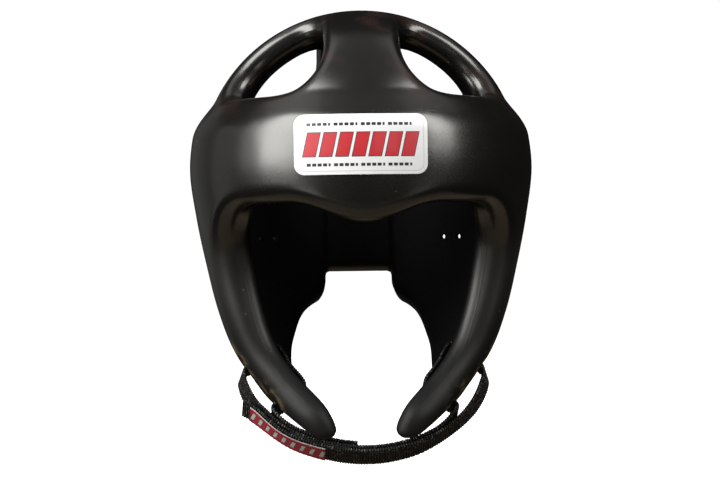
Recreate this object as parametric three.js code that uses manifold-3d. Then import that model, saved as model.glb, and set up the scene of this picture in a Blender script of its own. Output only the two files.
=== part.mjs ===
// Head guard for contact sport: one moulded foam shell with a thick brow band, a crown of four bars with
// windows between them, ear panels and cheek arms that end beside the chin, and a webbing chin strap that
// is threaded through slots in the arms and closed by hook and loop.
// Millimetres. +X is the wearer's left, +Y the back of the head, +Z up.
// The origin is where the top of the head meets the underside of the crown.
import * as THREE from "three";
import { mergeVertices } from "three/addons/utils/BufferGeometryUtils.js";
import Module from "manifold-3d";

const wasm = await Module();
wasm.setup();

// The hollow for the head above its widest level: half an ellipsoid.
const WIDEST_Z = -81;
const HEAD = { halfWidth: 81, front: 100, back: 98, rise: 81 };
const CROWN_WALL = { side: 18, ends: 18, top: 16 };

// The shell below the widest level: half width and reach to front and back of the outside, and the wall.
const SECTIONS = [
  { z: -81, halfWidth: 105.5, front: 125, back: 122, wall: 24.5 },
  { z: -110, halfWidth: 102, front: 123, back: 119, wall: 25 },
  { z: -140, halfWidth: 96, front: 118, back: 113, wall: 25 },
  { z: -170, halfWidth: 88.5, front: 111, back: 105, wall: 24 },
  { z: -195, halfWidth: 78.5, front: 105, back: 96, wall: 23 },
  { z: -220, halfWidth: 61, front: 100, back: 84, wall: 22 },
  { z: -250, halfWidth: 40, front: 94, back: 64, wall: 21 },
];

// The brow band and the bars of the crown.
const BAND_TOP_Z = -43;
const BAND_TOP_ROUND = 20;
const BAND_TO_CROWN_FILLET = 6;
const CROWN_FOOT_Z = -72;
const SIDE_BAR = { y: 2, halfWidth: 19 };
const END_BAR = { frontHalfWidth: 22.5, backHalfWidth: 26 };
const BAR_FILLET = 17;
const BAND_FILLET = 31;
const BAR_ROUND = 8.5;
const INSIDE_ROUND = 7.5;

// The face opening: brow line, and the arms' front rim as an angle from straight ahead about a vertical axis.
const BROW = { z: -104, dip: 11, dipHalfWidth: 42, cornerRound: 28 };
const FACE_AXIS_Y = 14;
const ARM_ROUND = 12;
const ARM_RIM = [
  { z: -90, angle: 47 },
  { z: -142, angle: 51 },
  { z: -172, angle: 49 },
  { z: -193, angle: 44 },
  { z: -211, angle: 33 },
  { z: -228, angle: 18 },
  { z: -250, angle: 12.5 },
];

// The lower rim seen from the side, from the chin tips back to the lobes behind the ears, and the nape notch.
const LOWER_RIM = [
  { y: -130, z: -258 },
  { y: -90, z: -256 },
  { y: -70, z: -246 },
  { y: -45, z: -233.6 },
  { y: 0, z: -222.5 },
  { y: 35, z: -213 },
  { y: 60, z: -193 },
  { y: 80, z: -172 },
  { y: 98, z: -161 },
  { y: 130, z: -158 },
];
const LOWER_RIM_LEAN = 0.85;
const CHIN_TIP_ROUND = 6.5;
const LOBE_ROUND = 9;
const NAPE_NOTCH = { halfWidth: 20.5, z: -146, round: 2.5 };
const NAPE_CHANNEL = { halfWidth: 21, depth: 9, topZ: -60, round: 4 };

// The facets of the shell.
const CELL = 8.8;
const CUBE_CORNERS = 8;
const RELAX = { passes: 8, share: 0.5 };
const LONGEST_MOVE = 2.5;
const FIELD_LOW = [-119, -140, -262];
const FIELD_HIGH = [119, 140, 35];

// Vent holes in each ear panel: how far back on the hollow's side, and their turn from straight back.
const EAR_VENT = { backs: [49, 63], z: -124, diameter: 3.4, sides: 8, reach: 100, start: 8, turn: 6.5 };

// The label on the brow, and how its sheet is brought up to the foam.
const LABEL = { halfWidth: 38, halfHeight: 17.2, corner: 6, x: -2.5, z: -71, gap: 0.3, thickness: 0.6 };
const LABEL_STEPS = { across: 16, up: 8 };
const LABEL_APPROACH = { from: 5, moves: 40, share: 0.8 };

// The chin strap's webbing: it leans back under the chin, follows the arms inside and turns forward outside.
const WEBBING = { width: 16, thickness: 2.5, layerGap: 0.4, lean: 37 };
const WEBBING_TURN = [
  { x: 0, turn: 0 },
  { x: 50, turn: -4 },
  { x: 72, turn: 13 },
];
const STRAP_PLANE = { y: -20, z: -203 };
const INNER_RUN = 3;
const SLOT_EXIT = 2.2;

// Two slots in each arm, flared at their mouths.
const SLOT = { length: 19, height: 6, flare: 3.5, flareStart: 7, depth: 34, steps: 6, arcSteps: 3 };
const ARM_MIDDLE = { x: 60, moves: 20 };
const UPPER_SLOT = { y: -18, z: -200 };
const LOWER_SLOT = { y: -35.5, z: -223 };

// The strap's course seen from the front, wearer's left to right: x and z of its middle.
const CHIN_RUN = [
  { x: 73.9, z: -210.3 },
  { x: 71.8, z: -217 },
  { x: 66, z: -226.5 },
  { x: 56.5, z: -235.8 },
  { x: 44, z: -244 },
  { x: 30, z: -250.2 },
  { x: 16, z: -253.5 },
  { x: 6, z: -254.6 },
  { x: -4.4, z: -254.7 },
  { x: -6, z: -254.6 },
  { x: -16, z: -253.5 },
  { x: -30, z: -250.4 },
  { x: -43, z: -246 },
  { x: -52, z: -241 },
  { x: -60, z: -235 },
  { x: -67, z: -229.6 },
  { x: -73.5, z: -226 },
];
const LOOP_RUN = [
  { x: -74.4, z: -209.5 },
  { x: -72, z: -217.5 },
  { x: -66, z: -226 },
  { x: -59.5, z: -231.5 },
  { x: -52, z: -237.8 },
];
const SLOT_TURN = { x: 51.5, z: -234.6 };
const SEWN_END = { chin: -4.4, loop: -6 };
const SEWN_FROM = 50;
const STRAP_LABEL = { fromX: -23, toX: -70, width: 13.6, thickness: 0.5, gap: 0.3 };
const RIBBON_STEP = 3;

const foam = new THREE.MeshStandardMaterial({ color: 0x0d0c0b, roughness: 0.35, metalness: 0 });
const webbing = new THREE.MeshStandardMaterial({ color: 0x101010, roughness: 0.9, metalness: 0 });
const labelFilm = new THREE.MeshStandardMaterial({ color: 0xf2f2f0, roughness: 0.35, metalness: 0 });
const labelWeave = new THREE.MeshStandardMaterial({ color: 0xa81824, roughness: 0.8, metalness: 0 });

// A smooth curve through a table's rows: one column's value at a place along another.
function curve(rows, keyColumn, column) {
  const keys = rows.map((row) => row[keyColumn]);
  const values = rows.map((row) => row[column]);
  const direction = Math.sign(keys[1] - keys[0]);
  const last = rows.length - 1;
  const slopes = rows.map((row, j) => {
    const [before, after] = [Math.max(j - 1, 0), Math.min(j + 1, last)];
    return j === 0 ? 0 : (values[after] - values[before]) / (keys[after] - keys[before]);
  });
  return (at) => {
    let i = 0;
    while (i < last - 1 && (at - keys[i + 1]) * direction > 0) i += 1;
    const span = keys[i + 1] - keys[i];
    const t = THREE.MathUtils.clamp((at - keys[i]) / span, 0, 1);
    const bend = t * t * (3 - 2 * t);
    const lean = span * (t * (1 - t) ** 2 * slopes[i] - t * t * (1 - t) * slopes[i + 1]);
    return values[i] * (1 - bend) + values[i + 1] * bend + lean;
  };
}

const outerHalfWidth = curve(SECTIONS, "z", "halfWidth");
const outerFront = curve(SECTIONS, "z", "front");
const outerBack = curve(SECTIONS, "z", "back");
const wallAt = curve(SECTIONS, "z", "wall");
const armRimAngle = curve(ARM_RIM, "z", "angle");
const lowerRimZ = curve(LOWER_RIM, "y", "z");
const webbingTurn = curve(WEBBING_TURN, "x", "turn");

// Distances: rounded corner where two solids meet, and rounded valley where two solids join.
function roundCorner(a, b, radius) {
  return Math.min(-radius, Math.max(a, b)) + Math.hypot(Math.max(radius + a, 0), Math.max(radius + b, 0));
}

function roundValley(a, b, radius) {
  return Math.max(radius, Math.min(a, b)) - Math.hypot(Math.max(radius - a, 0), Math.max(radius - b, 0));
}

// A rough form made into a distance by its own slope, with the direction of the slope.
function skin(form, x, y, z) {
  const step = 0.5;
  const slope = new THREE.Vector3(
    form(x + step, y, z) - form(x - step, y, z),
    form(x, y + step, z) - form(x, y - step, z),
    form(x, y, z + step) - form(x, y, z - step),
  ).divideScalar(2 * step);
  const steepness = Math.max(slope.length(), 1e-6);
  return { gap: form(x, y, z) / steepness, out: slope.divideScalar(steepness) };
}

// The point of the wall's middle that a point lies over, between an outer skin and the hollow.
function wallMiddle(outer, hollow, x, y, z) {
  const out = outer.out.clone().add(hollow.out).normalize();
  return new THREE.Vector3(x, y, z).addScaledVector(out, -(outer.gap + hollow.gap) / 2);
}

// Oval section: half width, and reach to front and back of the origin.
function oval(x, y, halfWidth, front, back) {
  const middle = (back - front) / 2;
  return Math.hypot(x / halfWidth, (y - middle) / ((front + back) / 2));
}

// The head hollow, the outside of the crown and the outside of the band and arms.
function hollowForm(x, y, z) {
  if (z >= WIDEST_Z) {
    return Math.hypot(oval(x, y, HEAD.halfWidth, HEAD.front, HEAD.back), (z - WIDEST_Z) / HEAD.rise) - 1;
  }
  const wall = wallAt(z);
  return oval(x, y, outerHalfWidth(z) - wall, outerFront(z) - wall, outerBack(z) - wall) - 1;
}

function crownForm(x, y, z) {
  const across = oval(
    x,
    y,
    HEAD.halfWidth + CROWN_WALL.side,
    HEAD.front + CROWN_WALL.ends,
    HEAD.back + CROWN_WALL.ends,
  );
  return Math.hypot(across, (z - WIDEST_Z) / (HEAD.rise + CROWN_WALL.top)) - 1;
}

function bandForm(x, y, z) {
  const level = WIDEST_Z - Math.abs(z - WIDEST_Z);
  return oval(x, y, outerHalfWidth(level), outerFront(level), outerBack(level)) - 1;
}

// Where the crown has bars: negative on a bar or close to the band.
function crownBars({ x, y, z }) {
  const sideBar = Math.abs(y - SIDE_BAR.y) - SIDE_BAR.halfWidth;
  const endBar = Math.abs(x) - (y < SIDE_BAR.y ? END_BAR.frontHalfWidth : END_BAR.backHalfWidth);
  const cross = roundValley(sideBar, endBar, BAR_FILLET);
  return roundValley(cross, z - BAND_TOP_Z, BAND_FILLET);
}

// The face opening: negative inside it.
function faceOpening({ x, y, z }) {
  const angle = THREE.MathUtils.degToRad(armRimAngle(z));
  const besideArm = Math.abs(x) * Math.cos(angle) + (y - FACE_AXIS_Y) * Math.sin(angle);
  const dip = BROW.dip * Math.cos((Math.PI / 2) * Math.min(Math.abs(x) / BROW.dipHalfWidth, 1)) ** 2;
  return roundCorner(besideArm, z - (BROW.z - dip), BROW.cornerRound);
}

// The lower edge: negative above it, with the notch at the nape.
function aboveLowerRim({ x, y, z }) {
  const rim = (lowerRimZ(y) - z) * LOWER_RIM_LEAN;
  const notch = roundCorner(Math.abs(x) - NAPE_NOTCH.halfWidth, z - NAPE_NOTCH.z, NAPE_NOTCH.round);
  return y > 0 ? roundCorner(rim, -notch, LOBE_ROUND) : rim;
}

// The whole shell: negative in the foam. Its rims are cut square to the wall and rounded.
function shellField(x, y, z) {
  const hollow = skin(hollowForm, x, y, z);
  const crownSkin = skin(crownForm, x, y, z);
  const bandSkin = skin(bandForm, x, y, z);
  const bars = crownBars(wallMiddle(crownSkin, hollow, x, y, z));
  const crown = Math.max(roundCorner(crownSkin.gap, bars, BAR_ROUND), CROWN_FOOT_Z - z);
  const inBand = wallMiddle(bandSkin, hollow, x, y, z);
  const edges = roundCorner(-faceOpening(inBand), aboveLowerRim(inBand), CHIN_TIP_ROUND);
  const topped = roundCorner(bandSkin.gap, z - BAND_TOP_Z, BAND_TOP_ROUND);
  const band = roundCorner(topped, edges, ARM_ROUND);
  const channel = Math.max(
    hollow.gap - NAPE_CHANNEL.depth,
    Math.abs(x) - NAPE_CHANNEL.halfWidth,
    z - NAPE_CHANNEL.topZ,
    -y,
  );
  const inside = roundValley(hollow.gap, channel, NAPE_CHANNEL.round);
  return roundCorner(roundValley(crown, band, BAND_TO_CROWN_FILLET), -inside, INSIDE_ROUND);
}

// A closed mesh of a field's zero surface: a vertex in each grid cell that the surface crosses and a quad
// across each grid edge that it crosses, relaxed sideways and drawn back onto the surface.
function meshField(field, low, high, cell) {
  const count = [0, 1, 2].map((i) => Math.ceil((high[i] - low[i]) / cell) + 1);
  const place = (i, j, k) => [low[0] + i * cell, low[1] + j * cell, low[2] + k * cell];
  const index = (i, j, k) => (k * count[1] + j) * count[0] + i;
  const values = new Float64Array(count[0] * count[1] * count[2]);
  const corners = [];
  for (let k = 0; k < count[2]; k++) {
    for (let j = 0; j < count[1]; j++) {
      for (let i = 0; i < count[0]; i++) {
        values[index(i, j, k)] = field(...place(i, j, k));
        corners.push([i, j, k]);
      }
    }
  }

  // One point for each sheet of the surface in a cell: crossed cell edges that share a face are one sheet,
  // and on a face that all four edges cross, each inside corner keeps its own two.
  const points = [];
  const sheetPoint = new Map();
  const corner = (n) => [n & 1, (n >> 1) & 1, (n >> 2) & 1];
  const faces = [0, 1, 2].flatMap((axis) => {
    const [n, u, v] = [1 << axis, 1 << ((axis + 1) % 3), 1 << ((axis + 2) % 3)];
    return [0, n].map((side) => [side, side | u, side | u | v, side | v]);
  });
  const edgeKey = (a, b) => Math.min(a, b) * CUBE_CORNERS + Math.max(a, b);
  const sheetKey = (i, j, k, edge) => index(i, j, k) * CUBE_CORNERS ** 2 + edge;
  for (const [i, j, k] of corners) {
    if (i + 1 >= count[0] || j + 1 >= count[1] || k + 1 >= count[2]) continue;
    const at = Array.from({ length: CUBE_CORNERS }, (_, n) => {
      const [a, b, c] = corner(n);
      return values[index(i + a, j + b, k + c)];
    });
    const inside = at.filter((value) => value < 0).length;
    if (inside === 0 || inside === CUBE_CORNERS) continue;
    const sheetOf = new Map();
    const join = (a, b) => {
      const [from, to] = [sheetOf.get(a) ?? a, sheetOf.get(b) ?? b];
      sheetOf.set(a, from);
      sheetOf.set(b, to);
      for (const [edge, sheet] of sheetOf) if (sheet === from) sheetOf.set(edge, to);
    };
    for (const face of faces) {
      const edges = face.map((a, n) => [a, face[(n + 1) % 4]]).filter(([a, b]) => at[a] < 0 !== at[b] < 0);
      if (edges.length === 2) join(edgeKey(...edges[0]), edgeKey(...edges[1]));
      if (edges.length < 4) continue;
      face.forEach((a, n) => {
        if (at[a] < 0) join(edgeKey(a, face[(n + 3) % 4]), edgeKey(a, face[(n + 1) % 4]));
      });
    }
    for (const sheet of new Set(sheetOf.values())) {
      const middle = new THREE.Vector3();
      const edges = [...sheetOf].filter(([, its]) => its === sheet).map(([edge]) => edge);
      for (const edge of edges) {
        const [a, b] = [Math.floor(edge / CUBE_CORNERS), edge % CUBE_CORNERS];
        const t = at[a] / (at[a] - at[b]);
        middle.add(new THREE.Vector3(...corner(a)).lerp(new THREE.Vector3(...corner(b)), t));
        sheetPoint.set(sheetKey(i, j, k, edge), points.length);
      }
      middle.multiplyScalar(cell / edges.length);
      points.push(middle.add(new THREE.Vector3(...place(i, j, k))));
    }
  }

  const quads = [];
  for (const [i, j, k] of corners) {
    for (let axis = 0; axis < 3; axis++) {
      const [n, u, v] = [1 << axis, 1 << ((axis + 1) % 3), 1 << ((axis + 2) % 3)];
      const step = corner(n);
      const to = [i + step[0], j + step[1], k + step[2]];
      if (to.some((value, m) => value >= count[m])) continue;
      const inside = values[index(i, j, k)] < 0;
      if (inside === values[index(...to)] < 0) continue;
      const ring = [0, u, u | v, v].map((back) => {
        const [a, b, c] = corner(back);
        return sheetPoint.get(sheetKey(i - a, j - b, k - c, edgeKey(back, back | n)));
      });
      quads.push(inside ? ring : ring.reverse());
    }
  }

  const neighbours = points.map(() => new Set());
  for (const quad of quads) {
    quad.forEach((a, n) => {
      const b = quad[(n + 1) % 4];
      neighbours[a].add(b);
      neighbours[b].add(a);
    });
  }
  for (let pass = 0; pass < RELAX.passes; pass++) {
    const before = points.map((point) => point.clone());
    points.forEach((point, n) => {
      const mean = new THREE.Vector3();
      neighbours[n].forEach((m) => mean.add(before[m]));
      point.lerp(mean.divideScalar(neighbours[n].size), RELAX.share);
      drawOnto(field, point);
    });
  }

  const miss = (a, b) => {
    const { x, y, z } = points[a].clone().lerp(points[b], 0.5);
    return Math.abs(field(x, y, z));
  };
  const triangles = quads.flatMap(([a, b, c, d]) => {
    const taken = neighbours[a].has(c);
    const free = !neighbours[b].has(d);
    const across = taken ? false : !free || miss(a, c) < miss(b, d);
    const [from, to] = across ? [a, c] : [b, d];
    neighbours[from].add(to);
    neighbours[to].add(from);
    return across ? [a, b, c, a, c, d] : [a, b, d, b, c, d];
  });
  const geometry = new THREE.BufferGeometry().setFromPoints(points);
  geometry.setIndex(triangles);
  return geometry;
}

// Moves a point along a field's slope onto its zero surface.
function drawOnto(field, point) {
  const step = 0.25;
  for (let n = 0; n < 2; n++) {
    const { x, y, z } = point;
    const slope = new THREE.Vector3(
      field(x + step, y, z) - field(x - step, y, z),
      field(x, y + step, z) - field(x, y - step, z),
      field(x, y, z + step) - field(x, y, z - step),
    ).divideScalar(2 * step);
    const move = -field(x, y, z) / Math.max(slope.lengthSq(), 0.5);
    point.addScaledVector(slope, THREE.MathUtils.clamp(move, -LONGEST_MOVE, LONGEST_MOVE));
  }
}

// Solids for cutting and joining, and back to geometry.
function solidOf(geometry) {
  const bare = geometry.clone();
  bare.deleteAttribute("normal");
  bare.deleteAttribute("uv");
  const merged = mergeVertices(bare, 1e-4);
  return new wasm.Manifold(
    new wasm.Mesh({
      numProp: 3,
      vertProperties: new Float32Array(merged.attributes.position.array),
      triVerts: new Uint32Array(merged.index.array),
    }),
  );
}

function geometryOf(solid) {
  const { vertProperties, triVerts } = solid.getMesh();
  const geometry = new THREE.BufferGeometry();
  geometry.setAttribute("position", new THREE.BufferAttribute(vertProperties, 3));
  geometry.setIndex(new THREE.BufferAttribute(triVerts, 1));
  return geometry;
}

// The direction across the webbing where its middle is at a given x.
function across(x) {
  const lean = THREE.MathUtils.degToRad(WEBBING.lean);
  const turn = Math.sin(THREE.MathUtils.degToRad(webbingTurn(Math.abs(x)))) * Math.sign(x);
  return new THREE.Vector3(turn, Math.cos(lean), -Math.sin(lean)).normalize();
}

// A point of the strap's course from its front view.
function strapPoint({ x, z }) {
  const back = Math.tan(THREE.MathUtils.degToRad(WEBBING.lean)) * (z - STRAP_PLANE.z);
  return new THREE.Vector3(x, STRAP_PLANE.y + back, z);
}

// A slot's frame: the point in the middle of the arm's wall, and the directions out, along and over it.
function slotFrame({ y, z }, side) {
  const middle = new THREE.Vector3(side * ARM_MIDDLE.x, y, z);
  const out = new THREE.Vector3();
  for (let n = 0; n < ARM_MIDDLE.moves; n++) {
    const outer = skin(bandForm, middle.x, middle.y, middle.z);
    const hollow = skin(hollowForm, middle.x, middle.y, middle.z);
    out.copy(outer.out).add(hollow.out).normalize();
    middle.x -= (outer.gap + hollow.gap) / 2 / out.x;
  }
  const along = across(middle.x);
  along.addScaledVector(out, -along.dot(out)).normalize();
  const over = new THREE.Vector3().crossVectors(out, along).normalize();
  const half = Math.abs(skin(hollowForm, middle.x, middle.y, middle.z).gap);
  const at = (depth) => middle.clone().addScaledVector(out, depth);
  return { middle, out, along, over, half, at };
}

// The space of a slot: a rounded bar through the wall, wider at both mouths.
function slotCutter({ middle, out, along, over, half }) {
  const straight = (SLOT.length - SLOT.height) / 2;
  const outline = new THREE.Shape();
  outline.absarc(straight, 0, SLOT.height / 2, -Math.PI / 2, Math.PI / 2, false);
  outline.absarc(-straight, 0, SLOT.height / 2, Math.PI / 2, (3 * Math.PI) / 2, false);
  const bar = new THREE.ExtrudeGeometry(outline, {
    depth: SLOT.depth,
    steps: SLOT.steps,
    curveSegments: SLOT.arcSteps,
    bevelEnabled: false,
  }).translate(0, 0, -SLOT.depth / 2);
  const places = bar.attributes.position;
  for (let n = 0; n < places.count; n++) {
    const depth = Math.abs(places.getZ(n));
    const beyond = Math.max(depth - (half - SLOT.flareStart), 0) / SLOT.flareStart;
    const widening = SLOT.flare * beyond ** 2;
    const [x, y] = [places.getX(n), places.getY(n)];
    const end = Math.max(Math.abs(x) - straight, 0) * Math.sign(x);
    const radius = Math.max(Math.hypot(end, y), 1e-6);
    places.setX(n, x + (widening * end) / radius);
    places.setY(n, y + (widening * y) / radius);
  }
  const turned = new THREE.Matrix4().makeBasis(along, over, new THREE.Vector3().crossVectors(along, over));
  return solidOf(bar.applyMatrix4(turned.setPosition(middle)));
}

function earVentCutter(y, side) {
  const { z, diameter, sides, reach, start: before, turn } = EAR_VENT;
  const start = new THREE.Vector3(0, y, z);
  while (skin(hollowForm, start.x, start.y, start.z).gap < 0) start.x += side;
  const bar = new THREE.CylinderGeometry(diameter / 2, diameter / 2, reach, sides);
  bar.translate(0, reach / 2 - before, 0);
  bar.rotateZ(-side * THREE.MathUtils.degToRad(turn));
  return solidOf(bar.translate(start.x, start.y, start.z));
}

// Even places along a smooth course, each with its direction across and its outward direction.
function frames(course, from, to) {
  const count = Math.max(Math.round((course.getLength() * (to - from)) / RIBBON_STEP), 2);
  return Array.from({ length: count + 1 }, (_, n) => {
    const u = from + ((to - from) * n) / count;
    const middle = course.getPointAt(u);
    const tangent = course.getTangentAt(u);
    const out = new THREE.Vector3().crossVectors(tangent, across(middle.x)).normalize();
    return { middle, out, side: new THREE.Vector3().crossVectors(out, tangent) };
  });
}

// A flat ribbon along frames, lifted off their course by its outward direction.
function ribbon(places, width, thickness, lift) {
  const points = places.flatMap(({ middle, out, side }) =>
    [[-1, -1], [1, -1], [1, 1], [-1, 1]].map(([a, b]) =>
      middle
        .clone()
        .addScaledVector(side, (a * width) / 2)
        .addScaledVector(out, lift + (b * thickness) / 2),
    ),
  );
  const last = points.length - 4;
  const triangles = [0, 2, 1, 0, 3, 2, last, last + 1, last + 2, last, last + 2, last + 3];
  for (let n = 0; n < last; n += 4) {
    for (let k = 0; k < 4; k++) {
      const [a, b] = [n + k, n + ((k + 1) % 4)];
      triangles.push(a, b, b + 4, a, b + 4, a + 4);
    }
  }
  const geometry = new THREE.BufferGeometry().setFromPoints(points);
  geometry.setIndex(triangles);
  return solidOf(geometry).volume() > 0 ? geometry : turnedRound(geometry);
}

function turnedRound(geometry) {
  const order = Array.from(geometry.index.array);
  geometry.setIndex(order.reverse());
  return geometry;
}

// A piece of webbing layered on the chin run: its front view shifted up by whole layers.
function layer(rows, count) {
  const rise = (WEBBING.thickness + WEBBING.layerGap) * count;
  const course = new THREE.CatmullRomCurve3(rows.map(strapPoint));
  return rows.map((row, n) => {
    const tangent = course.getTangent(n / (rows.length - 1));
    const up = new THREE.Vector3().crossVectors(across(row.x), tangent).normalize();
    return strapPoint(row).addScaledVector(up.z > 0 ? up : up.negate(), rise);
  });
}

// The webbing's way through an arm: in at the lower slot, along the hollow's side and out at the upper slot.
function throughArm(side) {
  const [lower, upper] = [slotFrame(LOWER_SLOT, side), slotFrame(UPPER_SLOT, side)];
  const inner = (slot) => slot.at(-slot.half - INNER_RUN);
  const middle = inner(lower).lerp(inner(upper), 0.5);
  const hollow = skin(hollowForm, middle.x, middle.y, middle.z);
  middle.addScaledVector(hollow.out, -hollow.gap - INNER_RUN);
  return [
    lower.at(lower.half + SLOT_EXIT),
    lower.at(0),
    inner(lower),
    middle,
    inner(upper),
    upper.at(0),
    upper.at(upper.half),
  ];
}

// The label on the brow: a thin plate with rounded corners that follows the band.
function browLabel() {
  const rows = Array.from({ length: LABEL_STEPS.up + 1 }, (_, n) => {
    const up = LABEL.halfHeight * Math.sin(Math.PI * (n / LABEL_STEPS.up - 0.5));
    const past = Math.max(Math.abs(up) - (LABEL.halfHeight - LABEL.corner), 0);
    return { up, half: LABEL.halfWidth - LABEL.corner + Math.sqrt(LABEL.corner ** 2 - past ** 2) };
  });
  const sheet = (gap) =>
    rows.flatMap(({ up, half }) =>
      Array.from({ length: LABEL_STEPS.across + 1 }, (_, n) => {
        const x = LABEL.x + half * ((2 * n) / LABEL_STEPS.across - 1);
        const point = new THREE.Vector3(x, -SECTIONS[0].front - LABEL_APPROACH.from, LABEL.z + up);
        for (let k = 0; k < LABEL_APPROACH.moves; k++) {
          point.y += (shellField(point.x, point.y, point.z) - gap) * LABEL_APPROACH.share;
        }
        return point;
      }),
    );
  const points = [...sheet(LABEL.gap + LABEL.thickness), ...sheet(LABEL.gap)];
  const [wide, size] = [LABEL_STEPS.across + 1, points.length / 2];
  const triangles = [];
  for (let row = 0; row < LABEL_STEPS.up; row++) {
    for (let n = 0; n < LABEL_STEPS.across; n++) {
      const a = row * wide + n;
      const [b, c, d] = [a + 1, a + wide + 1, a + wide];
      triangles.push(a, b, c, a, c, d, size + a, size + c, size + b, size + a, size + d, size + c);
    }
  }
  const rim = [];
  for (let n = 0; n < wide; n++) rim.push(n);
  for (let row = 1; row <= LABEL_STEPS.up; row++) rim.push(row * wide + wide - 1);
  for (let n = wide - 2; n >= 0; n--) rim.push(LABEL_STEPS.up * wide + n);
  for (let row = LABEL_STEPS.up - 1; row > 0; row--) rim.push(row * wide);
  rim.forEach((a, n) => {
    const b = rim[(n + 1) % rim.length];
    triangles.push(a, size + a, size + b, a, size + b, b);
  });
  const geometry = new THREE.BufferGeometry().setFromPoints(points);
  geometry.setIndex(triangles);
  return geometry;
}

const guard = new THREE.Group();
function add(name, geometry, material) {
  const mesh = new THREE.Mesh(geometry, material);
  mesh.name = name;
  guard.add(mesh);
}

const cutters = [1, -1].flatMap((side) => [
  slotCutter(slotFrame(UPPER_SLOT, side)),
  slotCutter(slotFrame(LOWER_SLOT, side)),
  ...EAR_VENT.backs.map((y) => earVentCutter(y, side)),
]);
const foamBlank = solidOf(meshField(shellField, FIELD_LOW, FIELD_HIGH, CELL));
add("shell", geometryOf(cutters.reduce((solid, cutter) => solid.subtract(cutter), foamBlank)), foam);
add("front_label", browLabel(), labelFilm);

const sewnRows = CHIN_RUN.filter(({ x }) => x >= SEWN_END.chin && x < SEWN_FROM).reverse();
const chinCourse = new THREE.CatmullRomCurve3(
  [...layer(sewnRows, 1), strapPoint(SLOT_TURN), ...throughArm(1), ...layer(CHIN_RUN, 0)],
  false,
  "centripetal",
);
add("chin_strap", ribbon(frames(chinCourse, 0, 1), WEBBING.width, WEBBING.thickness, 0), webbing);

const loopRows = CHIN_RUN.filter(({ x }) => x <= SEWN_END.loop && x > -SEWN_FROM);
const loopCourse = new THREE.CatmullRomCurve3(
  [
    ...layer(loopRows, 2),
    strapPoint({ x: -SLOT_TURN.x, z: SLOT_TURN.z }),
    ...throughArm(-1),
    ...LOOP_RUN.map(strapPoint),
    ...layer(loopRows, 1).reverse(),
  ],
  false,
  "centripetal",
);
add("loop_strap", ribbon(frames(loopCourse, 0, 1), WEBBING.width, WEBBING.thickness, 0), webbing);

// The woven label on the outside of the strap's free end.
const places = frames(chinCourse, 0, 1);
const underLabel = places
  .slice(places.length / 2)
  .filter(({ middle: { x } }) => x <= STRAP_LABEL.fromX && x >= STRAP_LABEL.toX);
const labelLift = WEBBING.thickness / 2 + STRAP_LABEL.gap + STRAP_LABEL.thickness / 2;
add("strap_label", ribbon(underLabel, STRAP_LABEL.width, STRAP_LABEL.thickness, labelLift), labelWeave);

export default guard;
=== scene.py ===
import math

import bpy
import numpy as np
from mathutils import Euler, Matrix, Vector


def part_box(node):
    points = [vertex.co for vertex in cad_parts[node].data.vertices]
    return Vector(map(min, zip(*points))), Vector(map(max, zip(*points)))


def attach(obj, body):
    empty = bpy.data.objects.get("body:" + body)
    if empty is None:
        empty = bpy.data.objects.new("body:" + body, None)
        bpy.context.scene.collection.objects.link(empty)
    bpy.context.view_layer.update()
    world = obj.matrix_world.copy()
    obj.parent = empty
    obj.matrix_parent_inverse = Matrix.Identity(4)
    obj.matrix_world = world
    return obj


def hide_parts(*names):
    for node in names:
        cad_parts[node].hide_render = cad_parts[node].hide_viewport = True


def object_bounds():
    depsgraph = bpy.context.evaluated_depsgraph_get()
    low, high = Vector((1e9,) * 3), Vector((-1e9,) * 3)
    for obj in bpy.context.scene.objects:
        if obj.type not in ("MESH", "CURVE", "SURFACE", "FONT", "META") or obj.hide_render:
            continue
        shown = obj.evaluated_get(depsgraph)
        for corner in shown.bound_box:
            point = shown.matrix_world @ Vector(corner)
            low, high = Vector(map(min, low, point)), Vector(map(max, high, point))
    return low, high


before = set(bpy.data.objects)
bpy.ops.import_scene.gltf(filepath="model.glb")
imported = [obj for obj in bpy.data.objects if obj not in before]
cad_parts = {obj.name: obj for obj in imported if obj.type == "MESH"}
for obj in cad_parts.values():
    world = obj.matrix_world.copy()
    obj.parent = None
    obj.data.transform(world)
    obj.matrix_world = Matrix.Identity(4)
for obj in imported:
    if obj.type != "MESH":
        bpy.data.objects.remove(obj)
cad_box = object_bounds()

MM = 0.001

# The camera: level, from the front and a little to the wearer's right, with a slight roll.
PHOTO_WIDTH = 720
PIXEL = 0.62 * MM
VIEW_DISTANCE = 1.5
VIEW_HEIGHT = -0.125
VIEW_TURN = math.radians(-1.3)
VIEW_ROLL = math.radians(-0.7)
VIEW_SIDESTEP = -1.5 * PIXEL
SENSOR_WIDTH = 36

# The shell's form in millimetres, as its solid has it.
# The hollow above its widest level is half an ellipsoid.
WIDEST_Z = -81
HEAD = {"half_width": 81, "front": 100, "back": 98, "rise": 81}
CROWN_WALL = {"side": 18, "ends": 18, "top": 16}

# Below the widest level: half width and reach to front and back of the outside, and the wall.
SECTIONS = {
    "z": (-81, -110, -140, -170, -195, -220, -250),
    "half_width": (105.5, 102, 96, 88.5, 78.5, 61, 40),
    "front": (125, 123, 118, 111, 105, 100, 94),
    "back": (122, 119, 113, 105, 96, 84, 64),
    "wall": (24.5, 25, 25, 24, 23, 22, 21),
}

# The brow band and the bars of the crown.
BAND_TOP_Z = -43
BAND_TOP_ROUND = 20
BAND_TO_CROWN_FILLET = 6
CROWN_FOOT_Z = -72
SIDE_BAR = {"y": 2, "half_width": 19}
END_BAR = {"front_half_width": 22.5, "back_half_width": 26}
BAR_FILLET = 17
BAND_FILLET = 31
BAR_ROUND = 8.5
INSIDE_ROUND = 7.5

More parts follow.
